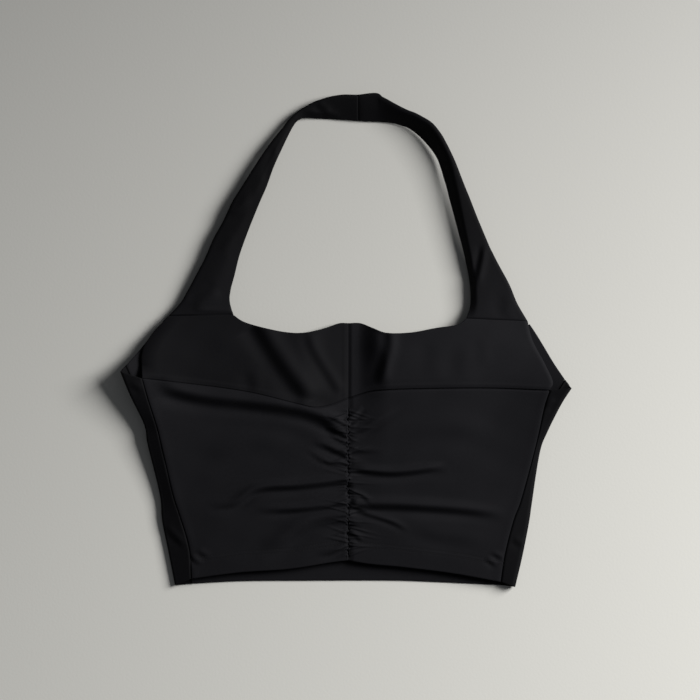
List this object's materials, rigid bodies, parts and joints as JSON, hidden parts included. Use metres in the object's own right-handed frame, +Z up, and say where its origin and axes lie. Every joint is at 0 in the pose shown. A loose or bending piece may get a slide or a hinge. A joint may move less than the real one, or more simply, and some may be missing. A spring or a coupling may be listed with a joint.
{
  "type": "halter neck top",
  "caption": "Cropped halter neck top laid flat, with a gathered centre front, plain cups, side panels and one strap round the neck.",
  "frame": {"origin": "middle of the laid-out garment's outline, on the surface that it lies on", "axes": "+Y towards the neck, +Z up out of the front, +X to the right as seen from above"},
  "size_m": [0.42, 0.4598, 0.0219],
  "materials": {
    "black_knit": "matte"
  },
  "bodies": {
    "root": {"back": "black_knit", "side_left": "black_knit", "side_right": "black_knit", "front_left": "black_knit", "front_right": "black_knit", "cup_left": "black_knit", "cup_right": "black_knit", "strap_left": "black_knit", "strap_right": "black_knit"}
  },
  "joints": []
}
